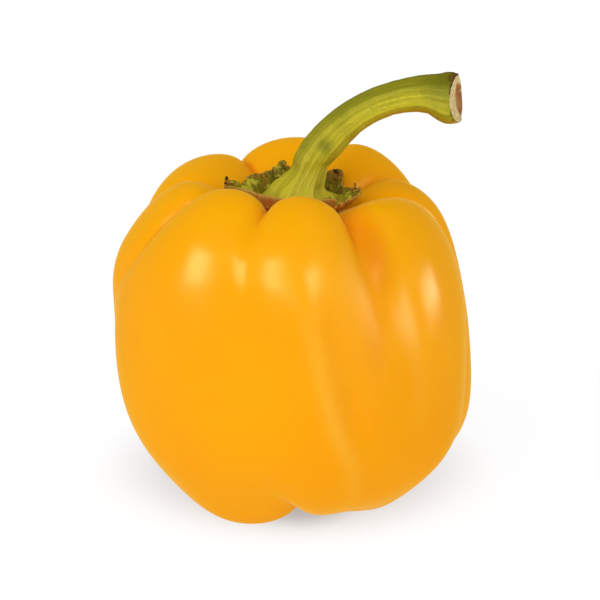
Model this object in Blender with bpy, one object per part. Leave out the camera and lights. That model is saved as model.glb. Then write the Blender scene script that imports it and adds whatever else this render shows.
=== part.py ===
"""A yellow bell pepper on the feet of its lobes: the fruit, the calyx in its sunken top and the stem.

Blender units are metres, +Z up. The origin is on the surface that the pepper stands on, under the middle
of its outline. Sizes are written in millimetres and azimuths in degrees, anticlockwise from +X as seen
from above, and the front of the pepper faces -Y.
"""

import math
from dataclasses import dataclass

import bpy
import numpy as np
from mathutils import Vector
from mathutils.bvhtree import BVHTree

MM = 0.001

# Fruit: the heights of its sunken top and of its blossom end.
CAVITY_FLOOR_HEIGHT = 76.0
CAVITY_FLOOR_RADIUS = 9.5
BLOSSOM_END_HEIGHT = 7.5
BLOSSOM_END_SHIFT = (0.5, -3.0)
FOOT_SINK = 0.5

# Calyx and stem: where the stem stands, and the clearance between pieces that touch.
GAP = 0.3
STEM_FOOT = (1.6, 0.0)
STEM_FOOT_HEIGHT = 79.2
CALYX_SEAT_RADIUS = 8.8

# Mesh fineness.
FRUIT_COLUMNS_PER_LOBE = 8
FRUIT_ROWS = 48
CALYX_COLUMNS = 72
CALYX_RINGS = 7
STEM_SIDES = 28
STEM_RINGS = 34

STATIONS = ("wall", "crest", "shoulder", "upper", "belly", "lower", "under", "foot")

# How much a furrow is a sharp cleft, 1, rather than a soft valley, 0.
CLEFT = (0.9, 1.0, 0.85, 0.7, 0.35, 0.3, 0.6, 0.9)


@dataclass(frozen=True)
class Lobe:
    """The middle line of one lobe: the radius and height of its crest, belly and foot, in millimetres.

    The shoulder and the haunch say what share of the way out the line is, above the belly and below it.
    """

    name: str
    crest: tuple
    belly: tuple
    foot: tuple
    shoulder: float = 0.62
    haunch: float = 0.52


@dataclass(frozen=True)
class Crease:
    """The furrow before a lobe: its azimuth in degrees, depth in millimetres and cleft at each station."""

    name: str
    azimuths: tuple
    depths: tuple
    cleft: tuple = CLEFT


@dataclass(frozen=True)
class Fold:
    """A shallow ridge, or a dent where its rise is negative, that runs down one lobe."""

    name: str
    azimuths: tuple
    heights: tuple
    half_width: float
    rise: float


@dataclass(frozen=True)
class RimPoint:
    """A point of the calyx's edge: azimuth, radius and height, and how thick the calyx is there."""

    azimuth: float
    radius: float
    height: float
    thickness: float


# Anticlockwise from the front left. Each crease lies before the lobe of the same place in the list.
LOBES = (
    Lobe("front_left", (25.0, 87.6), (45.8, 47.0), (22.0, 0.0), haunch=0.47),
    Lobe("front", (23.5, 86.8), (45.2, 43.0), (15.0, 1.5), 0.59, 0.56),
    Lobe("front_right", (26.5, 82.6), (45.6, 35.0), (19.6, 0.2), 0.52, 0.46),
    Lobe("right", (26.6, 80.0), (46.5, 33.5), (20.0, 0.9), 0.62, 0.48),
    Lobe("back_right", (25.0, 86.0), (44.5, 40.0), (19.0, 0.0), 0.66),
    Lobe("back", (24.5, 86.6), (44.0, 44.0), (18.0, 0.6)),
    Lobe("back_left", (26.0, 84.2), (44.8, 48.0), (18.5, 0.0), 0.66),
    Lobe("left", (24.5, 84.4), (46.6, 48.0), (19.0, 1.2), 0.455),
)
CREASES = (
    Crease(
        "left_to_front_left",
        (-150, -150, -155, -163, -180, -184, -178, -162),
        (4.5, 6.5, 5.0, 3.0, 1.5, 1.2, 1.8, 3.0),
    ),
    Crease(
        "front_left_to_front",
        (-105, -105, -106, -105, -103, -102, -94, -84),
        (5.0, 6.5, 2.8, 1.7, 0.7, 1.3, 4.2, 6.0),
    ),
    Crease(
        "front_to_front_right",
        (-60, -60, -61, -60, -55, -51, -48, -46),
        (4.5, 7.0, 5.6, 3.2, 1.4, 0.4, 0.0, 0.0),
        (0.9, 1.0, 0.7, 0.15, 0.0, 0.1, 0.6, 0.9),
    ),
    Crease(
        "front_right_to_right",
        (4, 5, 11, 8, -6, -14, -16, -12),
        (4.0, 5.5, 3.8, 2.8, 2.4, 2.4, 3.0, 4.0),
    ),
    Crease(
        "right_to_back_right",
        (31, 31, 31, 32, 30, 27, 28, 32),
        (4.0, 6.0, 4.4, 3.2, 2.0, 2.0, 2.6, 3.0),
    ),
    Crease(
        "back_right_to_back",
        (65, 65, 65, 65, 65, 66, 70, 76),
        (3.5, 5.0, 3.0, 1.6, 1.0, 1.6, 3.4, 4.5),
    ),
    Crease(
        "back_to_back_left",
        (118, 118, 117, 114, 108, 106, 108, 114),
        (4.0, 6.0, 5.0, 3.2, 2.0, 1.8, 2.4, 3.0),
    ),
    Crease(
        "back_left_to_left",
        (171, 171, 167, 161, 151, 146, 148, 155),
        (4.0, 5.5, 3.4, 2.2, 1.4, 1.4, 2.8, 4.0),
    ),
)

FOLDS = (
    Fold("front_ridge", (-84, -72), (76, 20), 4.5, 0.5),
    Fold("front_dent", (-76, -65), (70, 16), 5.0, -0.6),
    Fold("front_right_dent", (-49, -45), (76, 44), 4.0, -0.8),
    Fold("front_left_ridge", (-108, -106), (82, 58), 2.6, 0.4),
)

# The edge of the calyx: hooks at 178, 104, 47 and -6 degrees, and tongues into the two front furrows.
CALYX_RIM = (
    RimPoint(-150, 13.6, 80.6, 1.6),
    RimPoint(-128, 13.2, 80.3, 1.6),
    RimPoint(-105, 16.4, 78.6, 3.0),
    RimPoint(-84, 13.0, 80.2, 1.4),
    RimPoint(-64, 16.6, 78.2, 3.0),
    RimPoint(-40, 14.4, 79.8, 1.6),
    RimPoint(-22, 15.6, 80.6, 1.4),
    RimPoint(-6, 17.2, 81.8, 0.9),
    RimPoint(10, 14.2, 81.0, 1.2),
    RimPoint(28, 14.0, 81.2, 1.2),
    RimPoint(47, 16.6, 84.6, 0.9),
    RimPoint(62, 12.8, 81.6, 1.2),
    RimPoint(84, 12.6, 82.2, 1.2),
    RimPoint(104, 13.2, 85.4, 0.9),
    RimPoint(120, 13.6, 82.8, 1.2),
    RimPoint(146, 14.2, 82.2, 1.3),
    RimPoint(164, 14.0, 81.2, 1.3),
    RimPoint(178, 17.4, 81.8, 0.9),
    RimPoint(194, 13.8, 80.8, 1.4),
)

# The stem's middle line from its foot to its cut end, with its radius at each point.
STEM_LINE = (
    (1.6, 0.0, 79.2, 8.4),
    (1.7, 0.0, 80.6, 7.0),
    (2.4, 0.0, 82.8, 5.7),
    (3.8, 0.1, 85.6, 4.95),
    (5.8, 0.2, 89.6, 4.7),
    (8.1, 0.3, 92.9, 4.6),
    (11.4, 0.3, 96.7, 4.3),
    (16.0, 0.2, 100.5, 4.0),
    (21.6, 0.0, 103.5, 3.9),
    (27.8, -0.5, 105.4, 4.1),
    (33.2, -1.2, 105.9, 4.8),
    (36.8, -1.9, 105.4, 5.8),
    (38.8, -2.4, 105.2, 6.25),
    (40.0, -2.8, 105.2, 6.0),
)
STEM_CUT_NORMAL = (0.954, -0.282, 0.10)
STEM_RIBS = 6
# The cut end from its edge inwards: shares of the edge's radius, and how far each ring is set in.
CUT_END_RINGS = ((0.90, -0.35), (0.62, -0.1), (0.50, 0.9), (0.22, 0.7))

FRUIT_COLOUR = (0.95, 0.42, 0.01, 1.0)
CALYX_COLOUR = (0.14, 0.13, 0.015, 1.0)
STEM_COLOUR = (0.36, 0.33, 0.03, 1.0)


def smooth_curve(knots, values, places):
    """The values at the given places of the smoothest curve that passes through the values at the knots."""
    knots = np.asarray(knots, float)
    values = np.asarray(values, float)
    places = np.asarray(places, float)
    table = values.reshape(len(knots), -1)
    gaps = np.diff(knots)
    slopes = np.diff(table, axis=0) / gaps[:, None]
    system = np.eye(len(knots))
    pulls = np.zeros_like(table)
    for i in range(1, len(knots) - 1):
        system[i, i - 1 : i + 2] = gaps[i - 1], 2 * (gaps[i - 1] + gaps[i]), gaps[i]
        pulls[i] = 6 * (slopes[i] - slopes[i - 1])
    bends = np.linalg.solve(system, pulls)
    span = np.clip(np.searchsorted(knots, places, side="right") - 1, 0, len(knots) - 2)
    step = gaps[span][:, None]
    after = (places - knots[span])[:, None]
    before = step - after
    curve = (bends[span] * before**3 + bends[span + 1] * after**3) / (6 * step)
    curve += (table[span] / step - bends[span] * step / 6) * before
    curve += (table[span + 1] / step - bends[span + 1] * step / 6) * after
    return curve.reshape(len(places), *values.shape[1:])


def smooth_loop(knots, values, places, period):
    """smooth_curve through values that come round again after a period."""
    knots = np.asarray(knots, float)
    values = np.asarray(values, float)
    around = np.concatenate([knots - period, knots, knots + period])
    repeated = np.concatenate([values] * 3)
    return smooth_curve(around, repeated, np.asarray(places, float))


def lobe_outline(lobe):
    """Radius and height of a lobe's middle line, from the middle of the cavity down to the blossom end."""
    crest_radius, crest_height = lobe.crest
    belly_radius, belly_height = lobe.belly
    foot_radius, foot_height = lobe.foot
    foot_height -= FOOT_SINK
    shoulder = belly_radius - crest_radius
    drop = crest_height - belly_height
    tuck = belly_radius - foot_radius
    rise = belly_height - foot_height
    wall = crest_height - CAVITY_FLOOR_HEIGHT
    hollow = BLOSSOM_END_HEIGHT - foot_height
    return (
        (0.0, CAVITY_FLOOR_HEIGHT),
        (CAVITY_FLOOR_RADIUS, CAVITY_FLOOR_HEIGHT + 0.2),
        (0.70 * crest_radius, CAVITY_FLOOR_HEIGHT + 0.56 * wall),
        (crest_radius, crest_height),
        (crest_radius + lobe.shoulder * shoulder, crest_height - 0.155 * drop),
        (crest_radius + (0.67 + 0.4 * lobe.shoulder) * shoulder, crest_height - 0.50 * drop),
        (belly_radius, belly_height),
        (foot_radius + (0.69 + 0.35 * lobe.haunch) * tuck, foot_height + 0.45 * rise),
        (foot_radius + lobe.haunch * tuck, foot_height + 0.155 * rise),
        (foot_radius, foot_height),
        (0.5 * foot_radius, foot_height + 0.52 * hollow),
        (0.0, BLOSSOM_END_HEIGHT),
    )


def mirrored_ends(outline):
    """The outline with its neighbours across the axis added, so that it crosses the axis level."""
    first = outline[1:2] * (-1, 1)
    last = outline[-2:-1] * (-1, 1)
    return np.concatenate([first, outline, last])


def arc_lengths(points):
    """How far along the line through the points each of them lies."""
    steps = np.linalg.norm(np.diff(points, axis=0), axis=1)
    return np.concatenate([[0.0], np.cumsum(steps)])


def fruit_surface():
    """The fruit's surface in millimetres, as rows of points from the cavity to the blossom end."""
    outlines = np.array([lobe_outline(lobe) for lobe in LOBES])
    lobe_count = len(LOBES)
    mean_knots = arc_lengths(mirrored_ends(outlines.mean(axis=0)))
    mean_knots -= mean_knots[1]
    first_station = mean_knots[3]
    station_knots = mean_knots[3:11]
    rows = closer_rows(mean_knots[-2], station_knots[1], station_knots[-1])

    # A column's lobe place is a whole number in the middle of a lobe and half way between at a crease.
    share = np.linspace(-1, 1, FRUIT_COLUMNS_PER_LOBE, endpoint=False)
    across = 0.35 * share + 0.65 * np.sin(share * math.pi / 2)
    place = (np.arange(lobe_count)[:, None] + across / 2).ravel()
    across = np.tile(across, lobe_count)
    lobe_index = np.repeat(np.arange(lobe_count), FRUIT_COLUMNS_PER_LOBE)
    next_index = (lobe_index + 1) % lobe_count

    column_outlines = smooth_loop(np.arange(lobe_count), outlines, place, lobe_count)
    extended = np.stack([mirrored_ends(outline) for outline in column_outlines], axis=1)
    surface = smooth_curve(mean_knots, extended, rows)
    nudge = 1e-3
    ahead = smooth_curve(mean_knots, extended, rows + nudge)
    along = (ahead - surface) / nudge
    along /= np.linalg.norm(along, axis=2, keepdims=True)
    outward = np.stack([-along[:, :, 1], along[:, :, 0]], axis=2)

    held = np.clip(rows, first_station, station_knots[-1])
    azimuths = smooth_curve(station_knots, np.array([c.azimuths for c in CREASES], float).T, held)
    depths = smooth_curve(station_knots, np.array([c.depths for c in CREASES]).T, held)
    depths = np.clip(depths, 0, None)
    clefts = smooth_curve(station_knots, np.array([c.cleft for c in CREASES]).T, held)
    clefts = np.clip(clefts, 0, 1)
    end_station = mean_knots[-2]
    from_pole = np.minimum(rows / first_station, (end_station - rows) / (end_station - station_knots[-1]))
    depths *= ease(np.clip(from_pole, 0, 1))[:, None]

    start = azimuths[:, lobe_index]
    end = azimuths[:, next_index] + 360.0 * (next_index == 0)
    azimuth = start + (end - start) * (across + 1) / 2
    passed = ease((across + 1) / 2)
    depth = depths[:, lobe_index] + (depths[:, next_index] - depths[:, lobe_index]) * passed
    cleft = clefts[:, lobe_index] + (clefts[:, next_index] - clefts[:, lobe_index]) * passed
    valley = np.sin(np.abs(across) * math.pi / 2) ** 2
    sharp = 1 - np.sqrt(1 - across**2)
    pull = depth * (valley + (sharp - valley) * cleft)
    pull -= fold_rise(azimuth, surface[:, :, 1])

    radius = surface[:, :, 0] - outward[:, :, 0] * pull
    height = surface[:, :, 1] - outward[:, :, 1] * pull
    shift = ease(np.clip((rows - station_knots[4]) / (mean_knots[-2] - station_knots[4]), 0, 1))[:, None]
    angle = np.radians(azimuth)
    points = np.stack(
        [
            radius * np.cos(angle) + BLOSSOM_END_SHIFT[0] * shift,
            radius * np.sin(angle) + BLOSSOM_END_SHIFT[1] * shift,
            np.maximum(height, 0.0),
        ],
        axis=2,
    )
    return points


def closer_rows(length, crest, foot):
    """Places of the rows along a lobe, closer together where it turns over at its crest and its foot."""
    places = np.linspace(0, length, 400)
    closeness = 1 + 1.1 * np.exp(-(((places - crest) / 9) ** 2))
    closeness += 1.6 * np.exp(-(((places - foot) / 8) ** 2))
    passed = np.concatenate([[0.0], np.cumsum((closeness[1:] + closeness[:-1]) / 2)])
    return np.interp(np.linspace(0, passed[-1], FRUIT_ROWS + 1)[1:-1], passed, places)


def ease(share):
    """A share from 0 to 1 that starts and ends gently."""
    return share * share * (3 - 2 * share)


def fold_rise(azimuth, height):
    """How far the small folds lift the surface at these azimuths and heights."""
    rise = np.zeros_like(azimuth)
    for fold in FOLDS:
        top, bottom = fold.heights
        down = np.clip((top - height) / (top - bottom), 0, 1)
        middle = fold.azimuths[0] + (fold.azimuths[1] - fold.azimuths[0]) * down
        off = (azimuth - middle + 180) % 360 - 180
        rise += fold.rise * np.sin(math.pi * down) ** 1.5 * np.exp(-((off / fold.half_width) ** 2))
    return rise


def calyx_surfaces(fruit_tree):
    """The calyx's upper and lower points in millimetres, ring by ring from the middle to its edge."""
    azimuths = np.linspace(-180, 180, CALYX_COLUMNS, endpoint=False)
    knots = [point.azimuth for point in CALYX_RIM]
    rim = np.array([(p.radius, p.height, p.thickness) for p in CALYX_RIM])
    radius, height, thickness = smooth_loop(knots, rim, azimuths, 360.0).T
    angle = np.radians(azimuths)
    centre = np.array(STEM_FOOT)
    seat_height = STEM_FOOT_HEIGHT - GAP
    upper = []
    lower = []
    facing = np.stack([np.cos(angle), np.sin(angle)], 1)
    seat = centre + CALYX_SEAT_RADIUS * facing
    edge = radius[:, None] * facing
    for ring in range(1, CALYX_RINGS + 1):
        share = ring / CALYX_RINGS
        if share <= 2 / CALYX_RINGS:
            flat = centre + (seat - centre) * share * CALYX_RINGS / 2
            top = np.full(CALYX_COLUMNS, seat_height)
            depth = np.full(CALYX_COLUMNS, 1.6)
        else:
            out = (share - 2 / CALYX_RINGS) / (1 - 2 / CALYX_RINGS)
            flat = seat + (edge - seat) * out
            top = seat_height + (height - seat_height) * out**1.6 - 0.5 * math.sin(math.pi * out)
            depth = 1.6 + (thickness - 1.6) * out
        under = np.array([highest_near(fruit_tree, x, y) for x, y in flat]) + GAP
        bottom = np.maximum(top - depth, under)
        top = np.maximum(top, bottom + 0.7)
        upper.append(np.column_stack([flat, top]))
        lower.append(np.column_stack([flat, bottom]))
    return np.array(upper), np.array(lower)


def highest_near(tree, x, y):
    """The greatest height in millimetres of the fruit's top surface within half a facet of this place."""
    down = Vector((0, 0, -1))
    around = [(x, y)]
    for k in range(8):
        turn = k * math.pi / 4
        around.append((x + 0.7 * math.cos(turn), y + 0.7 * math.sin(turn)))
    return max(tree.ray_cast(Vector((a, b, 200.0)), down)[0].z for a, b in around)


def stem_rings():
    """The stem's rings of points in millimetres, from its foot to the edge of its cut end."""
    line = np.array(STEM_LINE)
    knots = arc_lengths(line[:, :3])
    lengths = np.linspace(0, knots[-1], STEM_RINGS)
    middle = smooth_curve(knots, line, lengths)
    ahead = smooth_curve(knots, line[:, :3], lengths + 1e-3)
    along = ahead - middle[:, :3]
    along /= np.linalg.norm(along, axis=1, keepdims=True)
    share = lengths / knots[-1]
    level = ease(np.clip(1 - share / 0.12, 0, 1))[:, None]
    cut = ease(np.clip((share - 0.86) / 0.14, 0, 1))[:, None]
    facing = along * (1 - level - cut) + np.array((0, 0, 1.0)) * level + np.array(STEM_CUT_NORMAL) * cut
    facing /= np.linalg.norm(facing, axis=1, keepdims=True)
    turn = np.linspace(0, 2 * math.pi, STEM_SIDES, endpoint=False)
    rib_height = 0.05 + 0.10 * ease(np.clip(1 - share / 0.2, 0, 1)) - 0.03 * cut[:, 0]
    rings = []
    for i in range(STEM_RINGS):
        side = np.cross((0, 1.0, 0), facing[i])
        side /= np.linalg.norm(side)
        front = np.cross(facing[i], side)
        reach = middle[i, 3] * (1 + rib_height[i] * (np.cos(STEM_RIBS * turn + 0.6) - 0.4))
        ring = middle[i, :3] + np.outer(reach * np.cos(turn), side) + np.outer(reach * np.sin(turn), front)
        rings.append(ring)
    return np.array(rings), facing[-1]


def cut_end_rings(edge, normal):
    """The rings of the stem's cut end, inwards from its edge: a raised rim, pale wood and a sunken pith."""
    middle = edge.mean(axis=0)
    rings = []
    for share, depth in CUT_END_RINGS:
        rings.append(middle + (edge - middle) * share - normal * depth)
    return np.array(rings), middle - normal * CUT_END_RINGS[-1][1]


def loft(rings, first_point, last_point):
    """Vertices and faces of a closed skin over rings of points, with a fan to one point at each end."""
    ring_count, ring_size = rings.shape[:2]
    points = np.concatenate([rings.reshape(-1, 3), [first_point, last_point]])
    first = ring_count * ring_size
    faces = []
    for column in range(ring_size):
        beside = (column + 1) % ring_size
        faces.append((first, column, beside))
        for row in range(ring_count - 1):
            here = row * ring_size
            below = here + ring_size
            faces.append((here + column, below + column, below + beside, here + beside))
        last_ring = (ring_count - 1) * ring_size
        faces.append((last_ring + column, first + 1, last_ring + beside))
    return points, faces


def add_object(name, points, faces, colour, roughness, parent):
    """A shaded mesh object, from points in millimetres."""
    mesh = bpy.data.meshes.new(name)
    mesh.from_pydata([tuple(p) for p in points * MM], [], faces)
    mesh.validate()
    mesh.shade_smooth()
    mesh.set_sharp_from_angle(angle=math.radians(50))
    material = bpy.data.materials.new(name)
    material.use_nodes = True
    shader = material.node_tree.nodes["Principled BSDF"]
    shader.inputs["Base Color"].default_value = colour
    shader.inputs["Roughness"].default_value = roughness
    shader.inputs["Metallic"].default_value = 0.0
    mesh.materials.append(material)
    obj = bpy.data.objects.new(name, mesh)
    obj.parent = parent
    bpy.context.scene.collection.objects.link(obj)
    return obj


def build_fruit(parent):
    """The lobed fruit. Returns a search tree of its surface in millimetres."""
    rows = fruit_surface()
    top = (0.0, 0.0, CAVITY_FLOOR_HEIGHT)
    end = (*BLOSSOM_END_SHIFT, BLOSSOM_END_HEIGHT)
    points, faces = loft(rows, top, end)
    add_object("fruit", points, faces, FRUIT_COLOUR, 0.28, parent)
    return BVHTree.FromPolygons([Vector(p) for p in points], faces)


def build_calyx(fruit_tree, parent):
    """The ragged green collar that lies in the fruit's sunken top."""
    upper, lower = calyx_surfaces(fruit_tree)
    rings = np.concatenate([upper, lower[::-1]])
    top = (*STEM_FOOT, upper[0, 0, 2])
    under = (*STEM_FOOT, lower[0, :, 2].min())
    points, faces = loft(rings, top, under)
    add_object("calyx", points, faces, CALYX_COLOUR, 0.6, parent)


def build_stem(parent):
    """The curved, ribbed stem, flared at its foot and swollen at its cut end."""
    rings, normal = stem_rings()
    end_rings, pith = cut_end_rings(rings[-1], normal)
    points, faces = loft(np.concatenate([rings, end_rings]), (*STEM_FOOT, STEM_FOOT_HEIGHT), pith)
    faces = [tuple(reversed(face)) for face in faces]
    add_object("stem", points, faces, STEM_COLOUR, 0.5, parent)


def stand_over_origin(pepper):
    """Moves the whole pepper sideways so that the middle of its outline is over the origin."""
    corners = np.array([vertex.co[:2] for obj in pepper.children for vertex in obj.data.vertices])
    middle = (corners.min(axis=0) + corners.max(axis=0)) / 2
    pepper.location = (-middle[0], -middle[1], 0.0)


def main():
    for obj in list(bpy.data.objects):
        bpy.data.objects.remove(obj)
    pepper = bpy.data.objects.new("pepper", None)
    bpy.context.scene.collection.objects.link(pepper)
    fruit_tree = build_fruit(pepper)
    build_calyx(fruit_tree, pepper)
    build_stem(pepper)
    stand_over_origin(pepper)


main()
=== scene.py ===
"""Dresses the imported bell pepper: waxy skin, ragged calyx, ribbed stem and a plain pale studio."""
import logging
import math
from dataclasses import dataclass, field
from enum import Enum
from typing import Any

import bpy
import numpy as np
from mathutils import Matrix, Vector, noise


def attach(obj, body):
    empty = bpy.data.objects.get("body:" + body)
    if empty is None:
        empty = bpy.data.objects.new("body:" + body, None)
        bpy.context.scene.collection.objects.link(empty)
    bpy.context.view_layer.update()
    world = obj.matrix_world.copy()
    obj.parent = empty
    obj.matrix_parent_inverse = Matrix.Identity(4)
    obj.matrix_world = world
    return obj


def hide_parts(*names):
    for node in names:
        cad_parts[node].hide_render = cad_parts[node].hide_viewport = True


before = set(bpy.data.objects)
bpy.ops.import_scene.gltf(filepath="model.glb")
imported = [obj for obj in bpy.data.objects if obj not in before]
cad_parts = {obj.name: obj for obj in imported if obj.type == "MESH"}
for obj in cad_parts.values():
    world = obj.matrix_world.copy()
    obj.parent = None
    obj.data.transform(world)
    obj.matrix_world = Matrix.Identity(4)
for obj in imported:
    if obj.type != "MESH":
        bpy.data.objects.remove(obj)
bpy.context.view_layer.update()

logging.basicConfig(level=logging.INFO, format="%(levelname)s %(message)s")
LOG = logging.getLogger("bell_pepper")

MM = 0.001
MERGE_DISTANCE = 0.00002
QUAD_ANGLE = math.radians(60)
NOISE_DIMENSION = 0.8
NOISE_GROWTH = 2.0
Colour = tuple[float, float, float]


class Part(Enum):
    """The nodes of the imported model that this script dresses."""

    FRUIT = "fruit"
    CALYX = "calyx"
    STEM = "stem"


def linear_colour(red: int, green: int, blue: int) -> Colour:
    """Turns a display colour into the linear colour that shaders work in.

    Args:
        red: Red from 0 to 255.
        green: Green from 0 to 255.
        blue: Blue from 0 to 255.

    Returns:
        The linear colour, each channel from 0 to 1.
    """
    linear = []
    for channel in (red, green, blue):
        share = channel / 255
        linear.append(share / 12.92 if share <= 0.04045 else ((share + 0.055) / 1.055) ** 2.4)
    return (linear[0], linear[1], linear[2])


def select_only(obj: bpy.types.Object) -> None:
    """Selects one object and makes it the active one.

    Args:
        obj: The object to select.
    """
    bpy.ops.object.select_all(action="DESELECT")
    obj.select_set(True)
    bpy.context.view_layer.objects.active = obj


def add_object(name: str, data: bpy.types.ID) -> bpy.types.Object:
    """Adds an object to the scene.

    Args:
        name: The object's name.
        data: Its curve, lamp or camera.

    Returns:
        The new object.
    """
    added = bpy.data.objects.new(name, data)
    bpy.context.scene.collection.objects.link(added)
    return added


def smooth_copy(part: Part, name: str, levels: int) -> bpy.types.Object:
    """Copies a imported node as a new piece, merges its triangles into quads and rounds it by subdivision.

    Args:
        part: The node to copy.
        name: The new piece's name.
        levels: How many times each face is divided.

    Returns:
        The new piece, selected and active.
    """
    source = bpy.data.objects[part.value]
    piece = source.copy()
    piece.data = source.data.copy()
    piece.name = name
    piece.data.name = name
    bpy.context.scene.collection.objects.link(piece)
    piece.data.materials.clear()
    select_only(piece)
    bpy.ops.object.mode_set(mode="EDIT")
    bpy.ops.mesh.select_all(action="SELECT")
    bpy.ops.mesh.remove_doubles(threshold=MERGE_DISTANCE)
    bpy.ops.mesh.tris_convert_to_quads(face_threshold=QUAD_ANGLE, shape_threshold=QUAD_ANGLE)
    bpy.ops.object.mode_set(mode="OBJECT")
    bpy.ops.object.shade_smooth()
    modifier = piece.modifiers.new("rounding", "SUBSURF")
    modifier.levels = levels
    modifier.render_levels = levels
    bpy.ops.object.modifier_apply(modifier=modifier.name)
    return piece


def read_vertices(mesh: bpy.types.Mesh, what: str = "co") -> np.ndarray:
    """Reads one vector for each vertex of a mesh.

    Args:
        mesh: The mesh to read.
        what: "co" for the places in metres, "normal" for the directions that the vertices face in.

    Returns:
        One row of x, y and z for each vertex.
    """
    values = np.empty(len(mesh.vertices) * 3)
    mesh.vertices.foreach_get(what, values)
    return values.reshape(-1, 3)


def place_vertices(mesh: bpy.types.Mesh, places: np.ndarray) -> None:
    """Moves a mesh's vertices.

    Args:
        mesh: The mesh to change.
        places: One row of x, y and z in metres for each vertex.
    """
    mesh.vertices.foreach_set("co", places.ravel())
    mesh.update()


def add_measures(mesh: bpy.types.Mesh, **measures: np.ndarray) -> None:
    """Stores numbers for each vertex, for a material to read.

    Args:
        mesh: The mesh to store them on.
        **measures: One number for each vertex, by the attribute's name.
    """
    for name, values in measures.items():
        attribute = mesh.attributes.new(name, "FLOAT", "POINT")
        attribute.data.foreach_set("value", np.ascontiguousarray(values, dtype=np.float32))


def hollow_measure(mesh: bpy.types.Mesh, rounds: int, full: float) -> np.ndarray:
    """Measures how deep each vertex lies under the smoothed surface, as in a crease.

    Args:
        mesh: The mesh to measure.
        rounds: How many times the surface is smoothed.
        full: The depth in metres that counts as 1.

    Returns:
        A share for each vertex: above 0 in a hollow, below 0 on a ridge.
    """
    places = read_vertices(mesh)
    edges = np.empty(len(mesh.edges) * 2, dtype=np.int64)
    mesh.edges.foreach_get("vertices", edges)
    first, second = edges.reshape(-1, 2).T
    count = np.bincount(first, minlength=len(places)) + np.bincount(second, minlength=len(places))
    smooth = places.copy()
    for _ in range(rounds):
        total = np.zeros_like(smooth)
        for axis in range(3):
            total[:, axis] += np.bincount(first, weights=smooth[second, axis], minlength=len(places))
            total[:, axis] += np.bincount(second, weights=smooth[first, axis], minlength=len(places))
        smooth = total / count[:, None]
    depth = np.einsum("ij,ij->i", smooth - places, read_vertices(mesh, "normal"))
    return np.clip(depth / full, -1, 1)


def ramp(values: np.ndarray, start: float, width: float) -> np.ndarray:
    """Rises from 0 at the start to 1 a width beyond it, or below it where the width is negative."""
    return np.clip((values - start) / width, 0, 1)


def bell(away: np.ndarray, width: float) -> np.ndarray:
    """Falls smoothly from 1 in the middle towards 0 beyond the width."""
    return np.exp(-((away / width) ** 2))


def fractal_noise(places: np.ndarray, scale: float, layers: int) -> np.ndarray:
    """Gives layered noise at each vertex.

    Args:
        places: The vertices in millimetres.
        scale: How fine the coarsest layer is, in patches per millimetre.
        layers: How many layers it has.

    Returns:
        One number for each vertex, mostly from -1 to 1.
    """
    spots = [Vector(place) * scale for place in places]
    return np.array([noise.fractal(spot, NOISE_DIMENSION, NOISE_GROWTH, layers) for spot in spots])


def follow_line(
    line: np.ndarray, samples: int, places: np.ndarray
) -> tuple[np.ndarray, np.ndarray, np.ndarray]:
    """Finds the place on a middle line that is nearest to each vertex.

    Args:
        line: The line's points in millimetres.
        samples: How many even places along it are tried.
        places: The vertices in millimetres.

    Returns:
        The places tried, which one is nearest to each vertex, and its share of the way along.
    """
    lengths = np.concatenate([[0.0], np.cumsum(np.linalg.norm(np.diff(line, axis=0), axis=1))])
    fine = np.linspace(0, lengths[-1], samples)
    middle = np.stack([np.interp(fine, lengths, line[:, axis]) for axis in range(3)], axis=1)
    nearest = np.argmin(np.linalg.norm(places[:, None] - middle[None], axis=2), axis=1)
    return middle, nearest, fine[nearest] / lengths[-1]


def adopt(piece: bpy.types.Object, part: Part) -> None:
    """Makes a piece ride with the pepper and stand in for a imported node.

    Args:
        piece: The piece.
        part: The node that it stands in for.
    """
    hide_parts(part.value)
    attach(piece, "root")


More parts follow.
